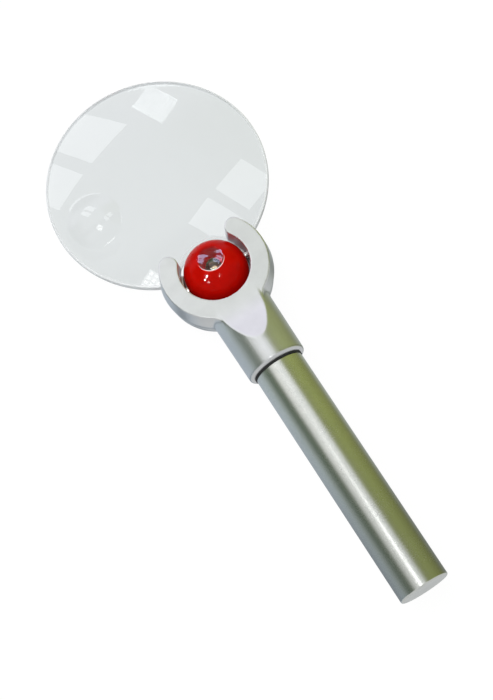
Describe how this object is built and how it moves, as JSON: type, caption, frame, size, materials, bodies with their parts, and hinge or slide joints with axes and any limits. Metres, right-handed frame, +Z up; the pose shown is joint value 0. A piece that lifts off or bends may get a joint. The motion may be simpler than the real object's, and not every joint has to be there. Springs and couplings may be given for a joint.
{
  "type": "illuminated hand magnifier",
  "caption": "Rimless round hand magnifier with a raised spot lens, a forked head around a swivelling ball lamp, and a tubular screw-on handle for the cells.",
  "frame": {"origin": "on the surface the magnifier lies on, under the middle of its length and width", "axes": "+Y from the handle's tail to the lens, +Z up to the viewer's side, +X to the right"},
  "size_m": [0.088, 0.2325, 0.0255],
  "materials": {
    "clear_acrylic": "clear, polished",
    "silver_paint": "satin silver paint",
    "champagne_metal": "satin, anodised champagne silver",
    "red_plastic": "high gloss red",
    "black_rubber": "matt black",
    "plated_brass": "machined",
    "spring_brass": "rolled strip",
    "screw_steel": "zinc plated",
    "spring_steel": "nickel plated wire",
    "circuit_board": "green solder mask",
    "lead_red_pvc": "insulation",
    "lead_black_pvc": "insulation",
    "led_epoxy": "water-clear epoxy",
    "resistor_coat": "lacquered",
    "cell_jacket": "printed foil jacket"
  },
  "bodies": {
    "head": {"main_lens": "clear_acrylic", "head_shell": "silver_paint", "head_cover": "silver_paint", "cover_screws": "screw_steel", "threaded_sleeve": "plated_brass", "sealing_ring": "black_rubber", "contact_board": "circuit_board", "front_contact": "plated_brass", "lead_red": "lead_red_pvc", "lead_black": "lead_black_pvc", "leaf_spring_left": "spring_brass", "leaf_spring_right": "spring_brass"},
    "lamp": {"lamp_shell_front": "red_plastic", "lamp_shell_rear": "red_plastic", "lamp_window": "clear_acrylic", "lamp_cup": "red_plastic", "led": "led_epoxy", "lamp_board": "circuit_board", "resistor": "resistor_coat", "pivot_pin_left": "plated_brass", "pivot_pin_right": "plated_brass", "feed_strip_left": "spring_brass", "feed_strip_right": "spring_brass"},
    "cells": {"cell_front": "cell_jacket", "cell_rear": "cell_jacket"},
    "handle": {"handle_tube": "champagne_metal", "tail_plug": "champagne_metal", "tail_spring": "spring_steel"}
  },
  "joints": [
    {"name": "lamp_swivel", "type": "hinge", "parent": "head", "child": "lamp", "pos_m": [0, 0.02575, 0.0126], "axis": [-1, 0, 0], "range_deg": [-18, 182]},
    {"name": "cells_slide", "type": "slide", "parent": "head", "child": "cells", "axis": [0, -1, 0], "range_m": [0, 0.00375]},
    {"name": "handle_twist", "type": "hinge", "parent": "cells", "child": "handle", "pos_m": [0, -0.067, 0.0126], "axis": [0, -1, 0], "range_deg": [0, 1080]}
  ],
  "couplings": [
    {"joint": "handle_twist", "follows": "cells_slide", "rad_per_m": 5026.5}
  ]
}
